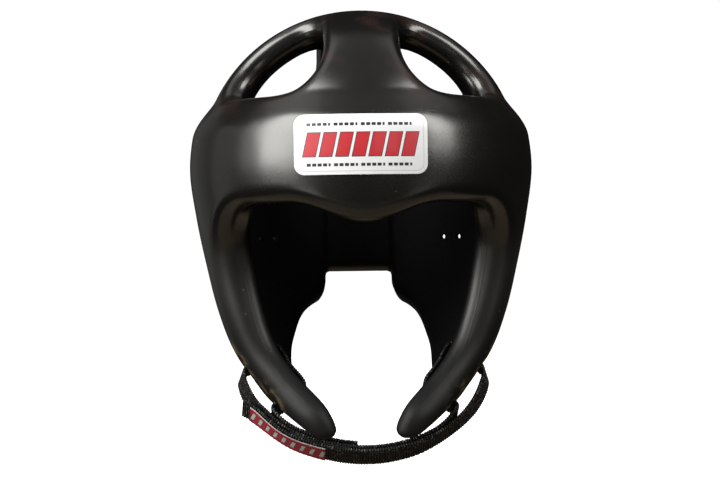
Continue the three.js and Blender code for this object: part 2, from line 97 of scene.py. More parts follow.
# The face opening: brow line, and the arms' front rim as an angle from straight ahead about a vertical axis.
BROW = {"z": -104, "dip": 11, "dip_half_width": 42, "corner_round": 28}
FACE_AXIS_Y = 14
ARM_ROUND = 12
ARM_RIM = {"z": (-90, -142, -172, -193, -211, -228, -250), "angle": (47, 51, 49, 44, 33, 18, 12.5)}

# The lower rim seen from the side, from the chin tips back to the lobes behind the ears, and the nape.
LOWER_RIM = {
    "y": (-130, -90, -70, -45, 0, 35, 60, 80, 98, 130),
    "z": (-258, -256, -246, -233.6, -222.5, -213, -193, -172, -161, -158),
}
LOWER_RIM_LEAN = 0.85
CHIN_TIP_ROUND = 6.5
LOBE_ROUND = 9
NAPE_NOTCH = {"half_width": 20.5, "z": -146, "round": 2.5}
NAPE_CHANNEL = {"half_width": 21, "depth": 9, "top_z": -60, "round": 4}

# Two strap slots in each arm, flared at their mouths, leaning as the webbing does.
SLOT = {"length": 19, "height": 6, "flare": 3.5, "flare_start": 7, "depth": 34, "edge": 1.2}
SLOT_PLACES = {"y": (-18, -35.5), "z": (-200, -223)}
WEBBING_LEAN = math.radians(37)
WEBBING_TURN = {"x": (0, 50, 72), "turn": (0, -4, 13)}
ARM_MIDDLE_X = 60
SLOT_SEARCH_STEPS = 20

# The steps in millimetres over which a form's slope is taken, and the least slope that counts.
SLOPE_STEP = 0.5
FINE_SLOPE_STEP = 0.25
LEAST_SLOPE = 1e-6

# The shell's skin: voxels, smoothing, and how it is drawn onto its form.
MERGE_DISTANCE = 0.001 * MM
SKIN_ROUNDS = 2
SKIN_VOXEL = 2.0 * MM
SKIN_SETTLE = {"passes": 12, "draw_in": 0.5, "push_out": -0.53}
SKIN_DRAWS = 3
LONGEST_DRAW = 2.5
SMOOTH_ANGLE = math.radians(40)

# The vent holes through each ear panel: a point on each axis, its turn from straight back, and the bore.
VENT_POINTS = [(63 * MM, 49 * MM, -124 * MM), (54 * MM, 63 * MM, -124 * MM)]
VENT_TURN = math.radians(6.5)
VENT_RADIUS = 1.7 * MM
VENT_SIDES = 24
VENT_LENGTH = 110 * MM
VENT_AHEAD = 40 * MM

# The label on the brow, and how far ahead of the shell it starts, as a share of the shell's reach.
LABEL = {"half_width": 38 * MM, "half_height": 17.2 * MM, "corner": 6 * MM, "x": -2.5 * MM, "z": -71 * MM}
LABEL_FILM = 0.6 * MM
LABEL_EDGE = 0.18 * MM
LABEL_STEPS = {"across": 96, "up": 48}
LABEL_START = 1.2
PRINT = {
    "border_inset": 2.0 * MM,
    "border_half": 0.2 * MM,
    "slant": 0.22,
    "blocks": 7,
    "block_pitch": 9.4 * MM,
    "block_half": 3.5 * MM,
    "block_half_height": 6.7 * MM,
    "outline": 0.45 * MM,
    "line_up": 11.6 * MM,
    "line_half": 0.85 * MM,
    "dash": 2.3 * MM,
    "dash_pitch": 3.1 * MM,
    "group": 13.6 * MM,
    "group_pitch": 15.5 * MM,
    "dash_half_row": 31 * MM,
}

# Marks in the moulded skin: the parting line on the rims, and fine creases above the label's corners.
PARTING = {"depth": 9.5 * MM, "half_width": 0.7 * MM}
CREASE = {
    "places": [(-12 * MM, -47 * MM), (38 * MM, -48 * MM)],
    "half_wide": 14 * MM,
    "half_high": 7 * MM,
    "scale": (90, 90, 420),
    "sharpness": 7.0,
}

# The webbing, and the woven label on its free end.
WEBBING = {"width": 16 * MM, "thickness": 2.5 * MM}
STRAP_LABEL = {"width": 13.6 * MM, "thickness": 0.5 * MM}
RIB_PITCH = 1.6 * MM
RIB_DEPTH = 0.46 * MM
STEPS_PER_RIB = 6
LABEL_RIB_PITCH = 0.9 * MM
LABEL_RIB_DEPTH = 0.08 * MM
YARN_PITCH = 1.1 * MM
LABEL_YARN_PITCH = 0.7 * MM
BARS = {
    "slant": 0.3,
    "pitch": 6.2 * MM,
    "half": 1.2 * MM,
    "half_height": 3.3 * MM,
    "outline": 0.45 * MM,
    "border": 6.1 * MM,
}
FLAT_POINTS = 9
EDGE_POINTS = 3
COURSE_STEPS = 2000
POINT_DIGITS = 6
WEAVE_SMOOTH_ANGLE = math.radians(60)

# How far the chin strap's sewn end reaches past its solid to meet the loop.
SEWN_END_REACH = 0.85 * MM

# The closing tape between the straps.
TAPE = {"width": 14.6 * MM, "thickness": 0.36 * MM}
TAPE_ENDS_X = (-9 * MM, -44 * MM)
LAYER_GAP = 0.4 * MM

# The sewing thread. A stitch's rise, its sinking and its thinner ends are shares of the thread's radius.
STITCH = {
    "pitch": 3.0 * MM,
    "gap": 0.8 * MM,
    "radius": 0.25 * MM,
    "sides": 6,
    "rings": 6,
    "rise": 1.3,
    "sunk": 0.6,
    "thin_end": 0.4,
}
CHIN_SEAM_X = (2 * MM, 40 * MM)
LOOP_SEAM_X = (-10 * MM, -40 * MM)
SEAM_INSET = 2.0 * MM
LABEL_SEAM_INSET = 0.9 * MM
BLACK_THREAD = [(0.006, 0.006, 0.006, 1), (0.035, 0.034, 0.032, 1)]
RED_THREAD = [(0.16, 0.006, 0.012, 1), (0.36, 0.02, 0.03, 1)]

# The foam's finish: colours, where each mark fades in, and each mark's share.
FOAM_COLOURS = {
    "dark": (0.0028, 0.0026, 0.0023, 1),
    "light": (0.0062, 0.0057, 0.0049, 1),
    "stain": (0.017, 0.009, 0.0075, 1),
    "dust": (0.16, 0.15, 0.13, 1),
    "bare": (0.17, 0.115, 0.046, 1),
    "lining": (0.0016, 0.0016, 0.0015, 1),
    "sheen": (1, 0.99, 0.94, 1),
}
FOAM_FADES = {
    "inside": (3.5 * MM, 0.8 * MM),
    "slot_wall": (1.2 * MM, 0.1 * MM),
    "past_lining": (2 * MM, 6 * MM),
    "near_slot": (17 * MM, 6 * MM),
    "near_outside": (11 * MM, 18 * MM),
    "worn": (0.42, 0.6),
    "stain": (0.5, 0.66),
    "crown": (-60 * MM, -35 * MM),
    "cheek": (-105 * MM, -145 * MM),
    "arm": (-185 * MM, -225 * MM),
    # Painted shade: from here down the arms the near-black matt lining is mixed in to dim their highlights.
    "painted_arm_shade": (-135 * MM, -225 * MM),
    "brow": (-50 * MM, -60 * MM),
}
FOAM_SPECK = {"size": 0.06, "cloud": 0.52, "strength": 0.5}
FOAM_BARE = {"least": 0.4, "grain": 0.6, "scuff": 0.8}
FOAM_ROUGHNESS = {"least": 0.19, "cloud": 0.09, "grain": 0.05, "cheek": 0.19, "arm": 0.15, "bare": 0.25}
FOAM_RELIEF = {"waves": 0.9, "grain": 0.01, "seam": 0.25, "crease": 0.5}
FOAM_SPECULAR = 0.8
# The matt lining inside; its arm share is how much of it is mixed over the arms as painted shade.
LINING = {"roughness": 0.5, "grain": 0.3, "specular": 0.12, "arm_shade_share": 0.72}

# The brow label's finish.
FILM_COLOURS = {
    "film": (0.86, 0.86, 0.85, 1),
    "smudge": (0.72, 0.72, 0.71, 1),
    "border": (0.25, 0.25, 0.26, 1),
    "ink": (0.02, 0.018, 0.018, 1),
    "block": (0.5, 0.022, 0.03, 1),
}
FILM_BORDER_SHARE = 0.45
FILM_ROUGHNESS = {"least": 0.3, "smudge": 0.12, "block": 0.06}
FILM_RELIEF = {"smudge": 1.2, "weave": 0.05, "ink": 0.25}

# The finishes of the webbing, the closing tape, the thread and the woven label.
# The webbing's valley colour is painted shade between its ribs; its glint colour is painted highlight on the
# rib crests.
WEBBING_COLOURS = {
    "valley": (0.0008, 0.0008, 0.0008, 1),
    "yarn": (0.024, 0.023, 0.021, 1),
    "painted_glint": (0.17, 0.165, 0.15, 1),
}
WEBBING_LIGHTNESS = {"least": 0.3, "yarn": 0.4, "wear": 0.3}
# Painted highlights: where fibre and tuft noise put glints on the rib crests, and how strongly.
WEBBING_PAINTED_GLINT = {"fibre": (0.55, 0.75), "fibre_share": 0.5, "tuft": (0.53, 0.66), "strength": 0.8}
WEBBING_ROUGHNESS = {"most": 0.66, "yarn": 0.14, "fibre": 0.1}
WEBBING_FIBRE_RELIEF = 0.6
PILE_COLOURS = [(0.003, 0.003, 0.003, 1), (0.03, 0.03, 0.029, 1)]
PILE_ROUGHNESS = {"least": 0.75, "pile": 0.2}
THREAD_ROUGHNESS = {"least": 0.45, "twist": 0.2}
WOVEN_GROUND = {"yarn": 0.6, "fuzz": 0.4, "colours": [(0.2, 0.006, 0.013, 1), (0.46, 0.02, 0.035, 1)]}
WOVEN_PALE = {"yarn": 0.5, "fuzz": 0.5, "colours": [(0.3, 0.28, 0.26, 1), (0.62, 0.6, 0.57, 1)]}
WOVEN_OUTLINE_COLOUR = (0.03, 0.012, 0.013, 1)
WOVEN_ROUGHNESS = {"least": 0.6, "fuzz": 0.2}
WOVEN_FUZZ_RELIEF = 0.4

# The studio: a room that is white to the camera and dark to the guard, which softboxes light.
GUARD_MIDDLE = (0, 0, -0.12)
FLOOR = {"size": 12, "gap": 1 * MM, "colour": (0.85, 0.85, 0.85, 1), "roughness": 0.9, "glow": 1.0}
WHITE = (1, 1, 1, 1)
ROOM_COLOUR = (0.008, 0.008, 0.008, 1)
BACKDROP_STRENGTH = 1.05

# The lights, left and right as the camera sees them: name, azimuth from the front towards the wearer's left
# and elevation in degrees, distance and size in metres, brightness, and a colour where it isn't white.
SOFTBOXES = [
    ("left_softbox", -62, 31, 1.4, (0.85, 1.58), 9.8),
    ("left_edge_softbox", -88, 27, 1.4, (0.3, 1.4), 1.2),
    ("left_side_softbox", -112, 5, 1.5, (0.6, 1.2), 0.26),
    ("left_rear_softbox", -145, 5, 1.5, (0.8, 1.2), 0.12),
    ("left_low_softbox", -45, -14, 1.4, (0.4, 0.4), 1.3),
    ("left_front_softbox", -26, 12, 1.5, (0.5, 0.26), 2.4),
    ("right_softbox", 57, 34, 1.4, (0.52, 1.25), 8.8),
    ("right_low_softbox", 45, -14, 1.4, (0.4, 0.4), 0.5),
    ("right_front_softbox", 16, 12, 1.5, (0.4, 0.26), 2.2),
    ("left_top_softbox", -122, 62, 1.5, (0.8, 0.6), 0.55),
    ("right_top_softbox", 122, 62, 1.5, (0.8, 0.6), 0.35),
    ("overhead_softbox", 0, 88, 1.5, (1.6, 1.6), 0.2),
    ("floor_bounce", 0, -88, 1.0, (2.0, 2.0), 0.25, (1, 0.8, 0.56)),
    ("front_fill", 0, -30, 1.5, (1.6, 0.8), 0.12, (1, 0.9, 0.75)),
]


# Helpers for meshes.
def only(piece):
    """Selects one piece alone and makes it active."""
    bpy.ops.object.select_all(action="DESELECT")
    piece.select_set(True)
    bpy.context.view_layer.objects.active = piece


def editing(piece):
    """Opens a piece in edit mode with all of its mesh selected."""
    only(piece)
    bpy.ops.object.mode_set(mode="EDIT")
    bpy.ops.mesh.select_all(action="SELECT")


def done_editing():
    bpy.ops.object.mode_set(mode="OBJECT")


def new_piece(name, mesh):
    piece = bpy.data.objects.new(name, mesh)
    bpy.context.scene.collection.objects.link(piece)
    return piece


def modified(piece, kind, **settings):
    """Adds a modifier to a piece and applies it."""
    modifier = piece.modifiers.new(kind, kind)
    for name, value in settings.items():
        setattr(modifier, name, value)
    only(piece)
    bpy.ops.object.modifier_apply(modifier=modifier.name)


def merged_copy(node, name):
    """A new piece with a CAD node's mesh, its loose triangles joined."""
    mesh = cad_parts[node].data.copy()
    mesh.materials.clear()
    piece = new_piece(name, mesh)
    editing(piece)
    bpy.ops.mesh.remove_doubles(threshold=MERGE_DISTANCE)
    done_editing()
    return piece


def points_of(mesh):
    places = np.empty(len(mesh.vertices) * 3)
    mesh.vertices.foreach_get("co", places)
    return places.reshape(-1, 3)


def put_points(mesh, places):
    mesh.vertices.foreach_set("co", np.ascontiguousarray(places).ravel())
    mesh.update()


def settle(piece, passes, draw_in, push_out):
    """Smooths a fine mesh and keeps its size: each point is drawn to its neighbours, then pushed back."""
    mesh = piece.data
    places = points_of(mesh)
    count = len(places)
    ends = np.empty(len(mesh.edges) * 2, dtype=np.int64)
    mesh.edges.foreach_get("vertices", ends)
    first, second = ends.reshape(-1, 2).T
    share = np.bincount(first, minlength=count) + np.bincount(second, minlength=count)
    for _ in range(passes):
        for pull in (draw_in, push_out):
            for axis in range(3):
                column = places[:, axis]
                total = np.bincount(first, column[second], count) + np.bincount(second, column[first], count)
                places[:, axis] = column + pull * (total / share - column)
    put_points(mesh, places)


# The shell's form as distances in millimetres.
def curve(table, key, column):
    """A smooth curve through a table: one column's value at a place along another."""
    keys, values = np.array(table[key], float), np.array(table[column], float)
    direction = np.sign(keys[1] - keys[0])
    last = len(keys) - 1
    before, after = np.maximum(np.arange(last + 1) - 1, 0), np.minimum(np.arange(last + 1) + 1, last)
    slopes = (values[after] - values[before]) / (keys[after] - keys[before])
    slopes[0] = 0

    def value(at):
        i = np.searchsorted(direction * keys[1:-1], direction * at)
        span = keys[i + 1] - keys[i]
        t = np.clip((at - keys[i]) / span, 0, 1)
        bend = t * t * (3 - 2 * t)
        lean = span * (t * (1 - t) ** 2 * slopes[i] - t * t * (1 - t) * slopes[i + 1])
        return values[i] * (1 - bend) + values[i + 1] * bend + lean

    return value


outer_half_width = curve(SECTIONS, "z", "half_width")
outer_front = curve(SECTIONS, "z", "front")
outer_back = curve(SECTIONS, "z", "back")
wall_at = curve(SECTIONS, "z", "wall")
arm_rim_angle = curve(ARM_RIM, "z", "angle")
lower_rim_z = curve(LOWER_RIM, "y", "z")
webbing_turn = curve(WEBBING_TURN, "x", "turn")


def round_corner(a, b, radius):
    """The distance of two solids' common part, with a round corner."""
    inside = np.minimum(-radius, np.maximum(a, b))
    return inside + np.hypot(np.maximum(radius + a, 0), np.maximum(radius + b, 0))


def round_valley(a, b, radius):
    """The distance of two solids joined, with a round valley."""
    outside = np.maximum(radius, np.minimum(a, b))
    return outside - np.hypot(np.maximum(radius - a, 0), np.maximum(radius - b, 0))


def skin(form, x, y, z, step=SLOPE_STEP):
    """A rough form made into a distance by its own slope, with the direction of the slope."""
    slope = np.stack(
        [
            form(x + step, y, z) - form(x - step, y, z),
            form(x, y + step, z) - form(x, y - step, z),
            form(x, y, z + step) - form(x, y, z - step),
        ]
    ) / (2 * step)
    steepness = np.maximum(np.linalg.norm(slope, axis=0), LEAST_SLOPE)
    return form(x, y, z) / steepness, slope / steepness


def wall_middle(outer, hollow, x, y, z):
    """The point of the wall's middle that a point lies over."""
    out = outer[1] + hollow[1]
    out = out / np.linalg.norm(out, axis=0)
    return np.stack([x, y, z]) - out * (outer[0] + hollow[0]) / 2


def oval(x, y, half_width, front, back):
    return np.hypot(x / half_width, (y - (back - front) / 2) / ((front + back) / 2))


def hollow_form(x, y, z):
    """The head hollow."""
    across = oval(x, y, HEAD["half_width"], HEAD["front"], HEAD["back"])
    dome = np.hypot(across, (z - WIDEST_Z) / HEAD["rise"])
    wall = wall_at(z)
    below = oval(x, y, outer_half_width(z) - wall, outer_front(z) - wall, outer_back(z) - wall)
    return np.where(z >= WIDEST_Z, dome, below) - 1


def crown_form(x, y, z):
    """The outside of the crown."""
    half_width, ends = HEAD["half_width"] + CROWN_WALL["side"], CROWN_WALL["ends"]
    across = oval(x, y, half_width, HEAD["front"] + ends, HEAD["back"] + ends)
    return np.hypot(across, (z - WIDEST_Z) / (HEAD["rise"] + CROWN_WALL["top"])) - 1


def band_form(x, y, z):
    """The outside of the band and arms."""
    level = WIDEST_Z - np.abs(z - WIDEST_Z)
    return oval(x, y, outer_half_width(level), outer_front(level), outer_back(level)) - 1


def crown_bars(x, y, z):
    """Negative on a bar of the crown or close to the band."""
    side_bar = np.abs(y - SIDE_BAR["y"]) - SIDE_BAR["half_width"]
    end_half_width = np.where(y < SIDE_BAR["y"], END_BAR["front_half_width"], END_BAR["back_half_width"])
    cross = round_valley(side_bar, np.abs(x) - end_half_width, BAR_FILLET)
    return round_valley(cross, z - BAND_TOP_Z, BAND_FILLET)


def face_opening(x, y, z):
    """Negative inside the face opening."""
    angle = np.radians(arm_rim_angle(z))
    beside_arm = np.abs(x) * np.cos(angle) + (y - FACE_AXIS_Y) * np.sin(angle)
    dip = BROW["dip"] * np.cos(math.pi / 2 * np.minimum(np.abs(x) / BROW["dip_half_width"], 1)) ** 2
    return round_corner(beside_arm, z - (BROW["z"] - dip), BROW["corner_round"])


def above_lower_rim(x, y, z):
    """Negative above the lower edge, which has a notch at the nape."""
    rim = (lower_rim_z(y) - z) * LOWER_RIM_LEAN
    notch = round_corner(np.abs(x) - NAPE_NOTCH["half_width"], z - NAPE_NOTCH["z"], NAPE_NOTCH["round"])
    return np.where(y > 0, round_corner(rim, -notch, LOBE_ROUND), rim)


def slot_frame(y, z, side):
    """A slot's middle in the arm's wall, the directions out, along and over it, and half the wall."""
    middle = np.array([side * ARM_MIDDLE_X, y, z], float)
    for _ in range(SLOT_SEARCH_STEPS):
        outer, hollow = skin(band_form, *middle), skin(hollow_form, *middle)
        out = outer[1] + hollow[1]
        out /= np.linalg.norm(out)
        middle[0] -= (outer[0] + hollow[0]) / 2 / out[0]
    turn = side * math.sin(math.radians(webbing_turn(abs(middle[0]))))
    along = np.array([turn, math.cos(WEBBING_LEAN), -math.sin(WEBBING_LEAN)])
    along -= out * (along @ out)
    along /= np.linalg.norm(along)
    return middle, out, along, np.cross(out, along), abs(skin(hollow_form, *middle)[0])


def slot_space(places, middle, out, along, over, half):
    """Negative inside a slot."""
    offset = places - middle[:, None]
    depth = np.abs(out @ offset)
    beyond = np.maximum(depth - (half - SLOT["flare_start"]), 0) / SLOT["flare_start"]
    past_end = np.maximum(np.abs(along @ offset) - (SLOT["length"] - SLOT["height"]) / 2, 0)
    across = np.hypot(past_end, over @ offset) - SLOT["height"] / 2 - SLOT["flare"] * beyond**2
    return np.maximum(across, depth - SLOT["depth"] / 2)


SLOT_FRAMES = [slot_frame(y, z, side) for y, z in zip(SLOT_PLACES["y"], SLOT_PLACES["z"]) for side in (1, -1)]


def inside_gap(hollow, x, y, z):
    """How far a point is from the hollow, whose gap is known, with the channel at the nape."""
    beside_channel = np.maximum(np.abs(x) - NAPE_CHANNEL["half_width"], z - NAPE_CHANNEL["top_z"])
    channel = np.maximum(np.maximum(hollow - NAPE_CHANNEL["depth"], beside_channel), -y)
    return round_valley(hollow, channel, NAPE_CHANNEL["round"])


def slot_gap(x, y, z):
    """How far a point is from the nearest slot."""
    return np.min([slot_space(np.stack([x, y, z]), *slot) for slot in SLOT_FRAMES], axis=0)


def shell_form(x, y, z):
    """The whole shell: negative in the foam. Its rims are cut square to the wall and rounded."""
    hollow, crown_skin, band_skin = (skin(form, x, y, z) for form in (hollow_form, crown_form, band_form))
    bars = crown_bars(*wall_middle(crown_skin, hollow, x, y, z))
    crown = np.maximum(round_corner(crown_skin[0], bars, BAR_ROUND), CROWN_FOOT_Z - z)
    in_band = wall_middle(band_skin, hollow, x, y, z)
    edges = round_corner(-face_opening(*in_band), above_lower_rim(*in_band), CHIN_TIP_ROUND)
    topped = round_corner(band_skin[0], z - BAND_TOP_Z, BAND_TOP_ROUND)
    band = round_corner(topped, edges, ARM_ROUND)
    inside = inside_gap(hollow[0], x, y, z)
    foam = round_corner(round_valley(crown, band, BAND_TO_CROWN_FILLET), -inside, INSIDE_ROUND)
    return round_corner(foam, -slot_gap(x, y, z), SLOT["edge"])


def draw_onto_form(piece):
    """Moves a mesh's points along the form's slope onto the shell's surface."""
    places = points_of(piece.data).T / MM
    for _ in range(SKIN_DRAWS):
        miss, slope = skin(shell_form, *places, step=FINE_SLOPE_STEP)
        places = places - slope * np.clip(miss, -LONGEST_DRAW, LONGEST_DRAW)
    put_points(piece.data, places.T * MM)


# The foam shell.
def vent_axes():
    """A point and a direction for each vent hole."""
    for side in (1, -1):
        for x, y, z in VENT_POINTS:
            yield Vector((side * x, y, z)), Vector((side * math.sin(VENT_TURN), math.cos(VENT_TURN), 0))


def close_vents(piece):
    """Takes the vents' walls out of the rough mesh and closes the skin over them."""
    mesh = piece.data
    editing(piece)
    bpy.ops.mesh.select_all(action="DESELECT")
    done_editing()
    for face in mesh.polygons:
        for point, along in vent_axes():
            offset = face.center - point
            if (offset - along * offset.dot(along)).length < VENT_RADIUS:
                face.select = True
    bpy.ops.object.mode_set(mode="EDIT")
    bpy.ops.mesh.delete(type="FACE")
    bpy.ops.mesh.select_all(action="SELECT")
    bpy.ops.mesh.fill_holes(sides=0)
    done_editing()


def drill_vents(piece):
    """Bores the vents through the smooth shell."""
    bars = []
    for point, along in vent_axes():
        middle = point + along * (VENT_LENGTH / 2 - VENT_AHEAD)
        bpy.ops.object.select_all(action="DESELECT")
        bpy.ops.mesh.primitive_cylinder_add(
            vertices=VENT_SIDES,
            radius=VENT_RADIUS,
            depth=VENT_LENGTH,
            location=middle,
            rotation=along.to_track_quat("Z", "Y").to_euler(),
        )
        bars.append(bpy.context.object)
    for bar in bars:
        modified(piece, "BOOLEAN", object=bar, operation="DIFFERENCE", solver="EXACT")
        bpy.data.objects.remove(bar)


def note_wall(piece):
    """Keeps each point's distance from the hollow and from the slots, in metres, for the foam's finish."""
    places = points_of(piece.data).T / MM
    from_hollow = inside_gap(skin(hollow_form, *places)[0], *places)
    notes = np.stack([from_hollow, slot_gap(*places), np.zeros(len(from_hollow))], axis=1) * MM
    wall = piece.data.attributes.new("wall", "FLOAT_VECTOR", "POINT")
    wall.data.foreach_set("vector", notes.ravel())


def foam_shell():
    """The moulded shell: a fine, even skin over the CAD solid, drawn onto its smooth form."""
    shell = merged_copy("shell", "foam_shell")
    close_vents(shell)
    for _ in range(SKIN_ROUNDS):
        modified(shell, "REMESH", mode="VOXEL", voxel_size=SKIN_VOXEL)
        settle(shell, **SKIN_SETTLE)
        draw_onto_form(shell)
    drill_vents(shell)
    note_wall(shell)
    only(shell)
    bpy.ops.object.shade_smooth_by_angle(angle=SMOOTH_ANGLE)
    return shell


# The film label.
def brow_label(shell):
    """A thin film with rounded corners, laid on the brow."""
    bpy.ops.object.select_all(action="DESELECT")
    bpy.ops.mesh.primitive_grid_add(
        x_subdivisions=LABEL_STEPS["across"], y_subdivisions=LABEL_STEPS["up"], size=2
    )
    label = bpy.context.object
    label.name = "brow_label"
    places = points_of(label.data)
    across, level = places[:, 0], places[:, 1]
    up = LABEL["half_height"] * np.sin(level * math.pi / 2)
    past = np.maximum(np.abs(up) - (LABEL["half_height"] - LABEL["corner"]), 0)
    half = LABEL["half_width"] - LABEL["corner"] + np.sqrt(LABEL["corner"] ** 2 - past**2)
    ahead = np.full(len(places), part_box("shell")[0].y * LABEL_START)
    put_points(label.data, np.stack([LABEL["x"] + across * half, ahead, LABEL["z"] + up], axis=1))
    modified(
        label,
        "SHRINKWRAP",
        target=shell,
        wrap_method="PROJECT",
        use_project_y=True,
        use_positive_direction=True,
    )
    modified(label, "SOLIDIFY", thickness=LABEL_FILM, offset=1)
    modified(label, "BEVEL", width=LABEL_EDGE, segments=2, limit_method="ANGLE")
    only(label)
    bpy.ops.object.shade_smooth_by_angle(angle=SMOOTH_ANGLE)
    return label


# The straps.
class Course:
    """A flat strap's way through the frame: its middle, the direction across it and the outward direction."""

    def __init__(self, node):
        rings = self.rings(node)
        self.middle = rings.mean(axis=1)
        self.across = np.empty_like(self.middle)
        self.out = np.empty_like(self.middle)
        for n, ring in enumerate(rings):
            partner = 1 + np.argmin(np.linalg.norm(ring[1:] - ring[0], axis=1))
            others = [k for k in (1, 2, 3) if k != partner]
            across = ring[0] + ring[partner] - ring[others[0]] - ring[others[1]]
            out = np.cross(across, self.middle[min(n + 1, len(rings) - 1)] - self.middle[max(n - 1, 0)])
            if n and across @ self.across[n - 1] < 0:
                across = -across
            if n and out @ self.out[n - 1] < 0:
                out = -out
            self.across[n] = across / np.linalg.norm(across)
            self.out[n] = out / np.linalg.norm(out)
        lowest = np.argmin(self.middle[:, 2])
        if self.out[lowest][2] > 0:
            self.out = -self.out
        self.length = np.linalg.norm(np.diff(self.middle, axis=0), axis=1).sum()

    @staticmethod
    def rings(node):
        """The four corners of each section of a strap's solid, from one end to the other."""
        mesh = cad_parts[node].data
        corners = np.empty(len(mesh.loops), dtype=np.int64)
        mesh.loops.foreach_get("vertex_index", corners)
        places, same = np.unique(np.round(points_of(mesh), POINT_DIGITS), axis=0, return_inverse=True)
        touching = {point: set() for point in range(len(places))}
        for triangle in same.ravel()[corners].reshape(-1, 3):
            for point in triangle:
                touching[point].update(triangle)
        fullest = max(len(others) for others in touching.values())
        ends = {point for point, others in touching.items() if len(others) < fullest}
        level = {max(ends, key=lambda point: places[point][2])}
        while len(level) < 4:
            level |= set().union(*(touching[point] for point in level)) & ends
        seen = set()
        rings = []
        while level:
            rings.append(places[sorted(level)])
            seen |= level
            level = set().union(*(touching[point] for point in level)) - seen
        return np.array(rings)

    def where(self, x, last=False):
        """The distance along the strap of the first or last place at a given x."""
        steps = np.linspace(0, self.length, COURSE_STEPS)
        side = self.at(steps)[0][:, 0] > x
        return steps[np.flatnonzero(side[1:] != side[:-1])[-1 if last else 0]]

    def at(self, distance):
        """The middle, across and outward directions at distances along the strap, straight past its end."""
        last = len(self.middle) - 1
        beyond = np.maximum(np.asarray(distance) - self.length, 0)[:, None]
        onward = self.middle[-1] - self.middle[-2]
        t = np.clip(np.asarray(distance) / self.length, 0, 1) * last
        i = np.minimum(t.astype(int), last - 1)
        u = (t - i)[:, None]
        smooth = []
        for values in (self.middle, self.across, self.out):
            before, a, b, after = (values[np.clip(i + k, 0, last)] for k in (-1, 0, 1, 2))
            slope_a, slope_b = (b - before) / 2, (after - a) / 2
            bend = u * u * (3 - 2 * u)
            lean = u * (1 - u) ** 2 * slope_a - u * u * (1 - u) * slope_b
            smooth.append(a * (1 - bend) + b * bend + lean)
        smooth[0] = smooth[0] + onward / np.linalg.norm(onward) * beyond
        return smooth


def strap_section(width, thickness):
    """A strap's section as points across and through it: two flat faces and two round edges."""
    radius = thickness / 2
    flat = np.linspace(-1, 1, FLAT_POINTS) * (width / 2 - radius)
    turn = np.linspace(0, math.pi, EDGE_POINTS + 2)[1:-1]
    edge = np.stack([width / 2 - radius + radius * np.sin(turn), radius * np.cos(turn)], axis=1)
    top = np.stack([flat, np.full(FLAT_POINTS, radius)], axis=1)
    half = np.concatenate([top, edge])
    return np.concatenate([half, -half])


def woven_strap(name, course, size, rib_pitch, rib_depth, start=0, end=None, lift=0):
    """A strap woven in ribs across its width, along a course, with a map of its length and width."""
    end = course.length if end is None else end
    steps = int((end - start) / rib_pitch * STEPS_PER_RIB)
    distance = np.linspace(start, end, steps + 1)
    middle, across, out = course.at(distance)
    middle = middle + out * lift
    section = strap_section(**size)
    hollow = rib_depth * (0.5 - 0.5 * np.cos(2 * math.pi * distance / rib_pitch))
    thinner = 1 - hollow / (size["thickness"] / 2)
    narrower = 1 - hollow / (size["width"] / 2)
    points = (
        middle[:, None]
        + across[:, None] * (section[:, 0] * narrower[:, None])[..., None]
        + out[:, None] * (section[:, 1] * thinner[:, None])[..., None]
    )
    around = len(section)
    index = np.arange(points.shape[0] * around).reshape(-1, around)
    ahead = np.roll(index, -1, axis=1)
    walls = np.stack([index[:-1], ahead[:-1], ahead[1:], index[1:]], axis=2).reshape(-1, 4)
    faces = [*walls.tolist(), index[0][::-1].tolist(), index[-1].tolist()]
    mesh = bpy.data.meshes.new(name)
    mesh.from_pydata(points.reshape(-1, 3).tolist(), [], faces)
    weave = mesh.uv_layers.new(name="weave")
    corners = np.empty(len(mesh.loops), dtype=np.int64)
    mesh.loops.foreach_get("vertex_index", corners)
    lengthwise = distance[corners // around]
    widthwise = section[corners % around, 0]
    weave.data.foreach_set("uv", np.stack([lengthwise, widthwise], axis=1).ravel())
    piece = new_piece(name, mesh)
    editing(piece)
    bpy.ops.mesh.normals_make_consistent(inside=False)
    done_editing()
    only(piece)
    bpy.ops.object.shade_smooth_by_angle(angle=WEAVE_SMOOTH_ANGLE)
    return piece


def sewn_box(course, first, second, half, lift):
    """The four lines of a box of stitches between two distances along a strap, on one of its faces."""
    corners = [(first, -half), (second, -half), (second, half), (first, half)]
    return [(course, corners[n], corners[(n + 1) % 4], lift) for n in range(4)]


def seam_box(course, ends_x, last=False):
    """A box of stitches on a strap's outer face, between its first or last places at two x."""
    first, second = (course.where(x, last) for x in ends_x)
    return sewn_box(course, first, second, WEBBING["width"] / 2 - SEAM_INSET, WEBBING["thickness"] / 2)


